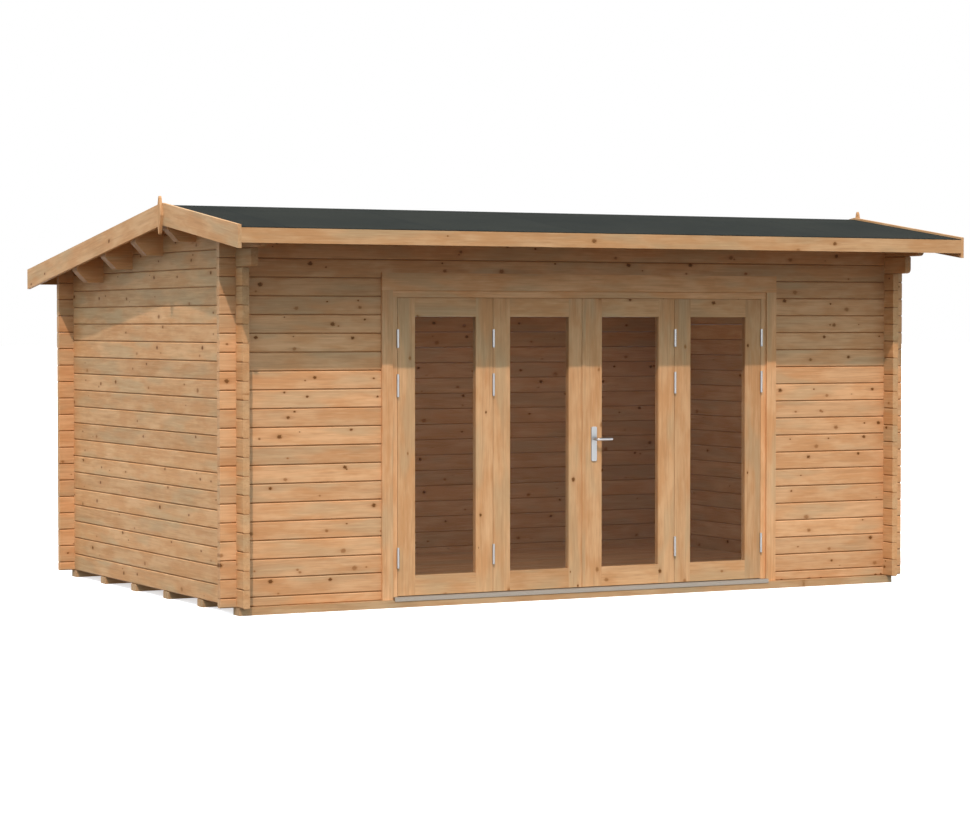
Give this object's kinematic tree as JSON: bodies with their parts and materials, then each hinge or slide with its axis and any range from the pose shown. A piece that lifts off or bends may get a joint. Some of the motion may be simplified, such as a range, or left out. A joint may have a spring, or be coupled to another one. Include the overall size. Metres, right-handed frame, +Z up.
{
  "type": "log cabin",
  "caption": "Log cabin with interlocking corners, an offset pitched felt roof and a glazed folding door in its long front wall.",
  "frame": {"origin": "on the ground, under the middle of the building's bounding box", "axes": "+Z up, +X along the long front wall to the viewer's right as seen from the front, +Y from the front wall to the back wall"},
  "size_m": [5.2566, 3.841, 2.55],
  "materials": {
    "log_wood": "planed spruce, warm honey tone, matt",
    "trim_wood": "planed spruce, matt",
    "door_wood": "planed and sanded spruce, matt",
    "board_wood": "planed boards, matt",
    "bearer_wood": "pressure-treated timber, matt",
    "roofing_felt": "mineral-faced bitumen felt, matt",
    "glass": "clear",
    "steel": "satin",
    "aluminium": "satin"
  },
  "bodies": {
    "root": {"bearers": "bearer_wood", "floor": "board_wood", "front_wall_left": "log_wood", "front_wall_right": "log_wood", "front_wall_top": "log_wood", "back_wall": "log_wood", "left_wall": "log_wood", "right_wall": "log_wood", "purlins": "log_wood", "roof_deck_front": "board_wood", "roof_deck_back": "board_wood", "roofing_felt_front": "roofing_felt", "roofing_felt_back": "roofing_felt", "fascia_front": "trim_wood", "fascia_back": "trim_wood", "bargeboard_front_left": "trim_wood", "bargeboard_back_left": "trim_wood", "bargeboard_front_right": "trim_wood", "bargeboard_back_right": "trim_wood", "finial_left": "trim_wood", "finial_right": "trim_wood", "door_frame": "door_wood", "door_casing": "door_wood", "door_threshold": "aluminium", "door_leaf_1": "door_wood", "door_leaf_2": "door_wood", "door_leaf_3": "door_wood", "door_leaf_4": "door_wood", "door_meeting_strip": "door_wood", "door_glass": "glass", "door_hinges": "steel", "door_handle": "steel"}
  },
  "joints": []
}
